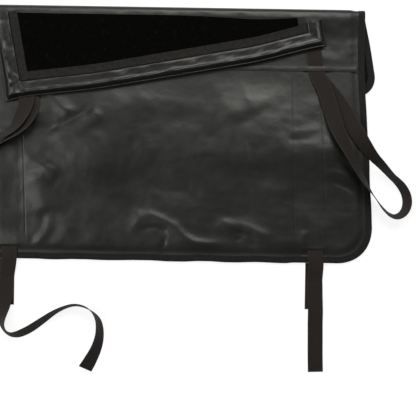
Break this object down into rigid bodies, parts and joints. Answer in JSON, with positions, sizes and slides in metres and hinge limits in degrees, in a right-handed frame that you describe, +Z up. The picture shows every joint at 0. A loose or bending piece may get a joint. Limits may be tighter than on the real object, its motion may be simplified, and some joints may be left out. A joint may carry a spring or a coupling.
{
  "type": "tailgate bike pad",
  "caption": "Padded tarpaulin tailgate pad lying folded at its ridge, with a bordered flap, slack webbing loops and tie-down tails.",
  "frame": {"origin": "underside at mid-width, below the seam between the front drop and the ridge, on the surface that the pad lies on", "axes": "+X to the right along the pad's width, +Y away from the front hem, +Z up out of the front face"},
  "size_m": [0.94, 0.7261, 0.0457],
  "materials": {
    "face_tarpaulin": "satin coated black tarpaulin",
    "lining_fleece": "brushed black fleece",
    "foam": "soft grey foam sheet",
    "binding_tape": "woven black edge tape",
    "webbing": "ribbed black webbing",
    "buckle_plastic": "moulded black plastic",
    "flap_cloth": "glossy puckered black tarpaulin",
    "flap_tape": "worn brownish woven tape"
  },
  "bodies": {
    "root": {"flap_border": "flap_cloth", "flap_foam": "foam", "flap_lining": "lining_fleece", "flap_piping": "flap_cloth", "flap_seam_strip": "face_tarpaulin", "flap_shell": "face_tarpaulin", "flap_tape": "flap_tape", "front_binding": "binding_tape", "front_face": "face_tarpaulin", "front_foam": "foam", "front_lining": "lining_fleece", "keeper_band": "face_tarpaulin", "left_buckle": "buckle_plastic", "left_buckle_tab": "webbing", "left_slack_loop": "webbing", "left_strap_sleeve": "lining_fleece", "left_tail_strap": "webbing", "left_under_tab": "webbing", "ridge_binding": "binding_tape", "ridge_face": "face_tarpaulin", "ridge_foam": "foam", "ridge_lining": "lining_fleece", "right_buckle": "buckle_plastic", "right_buckle_tab": "webbing", "right_slack_loop": "webbing", "right_strap_sleeve": "lining_fleece", "right_tail_strap": "webbing", "right_under_tab": "webbing"}
  },
  "joints": []
}
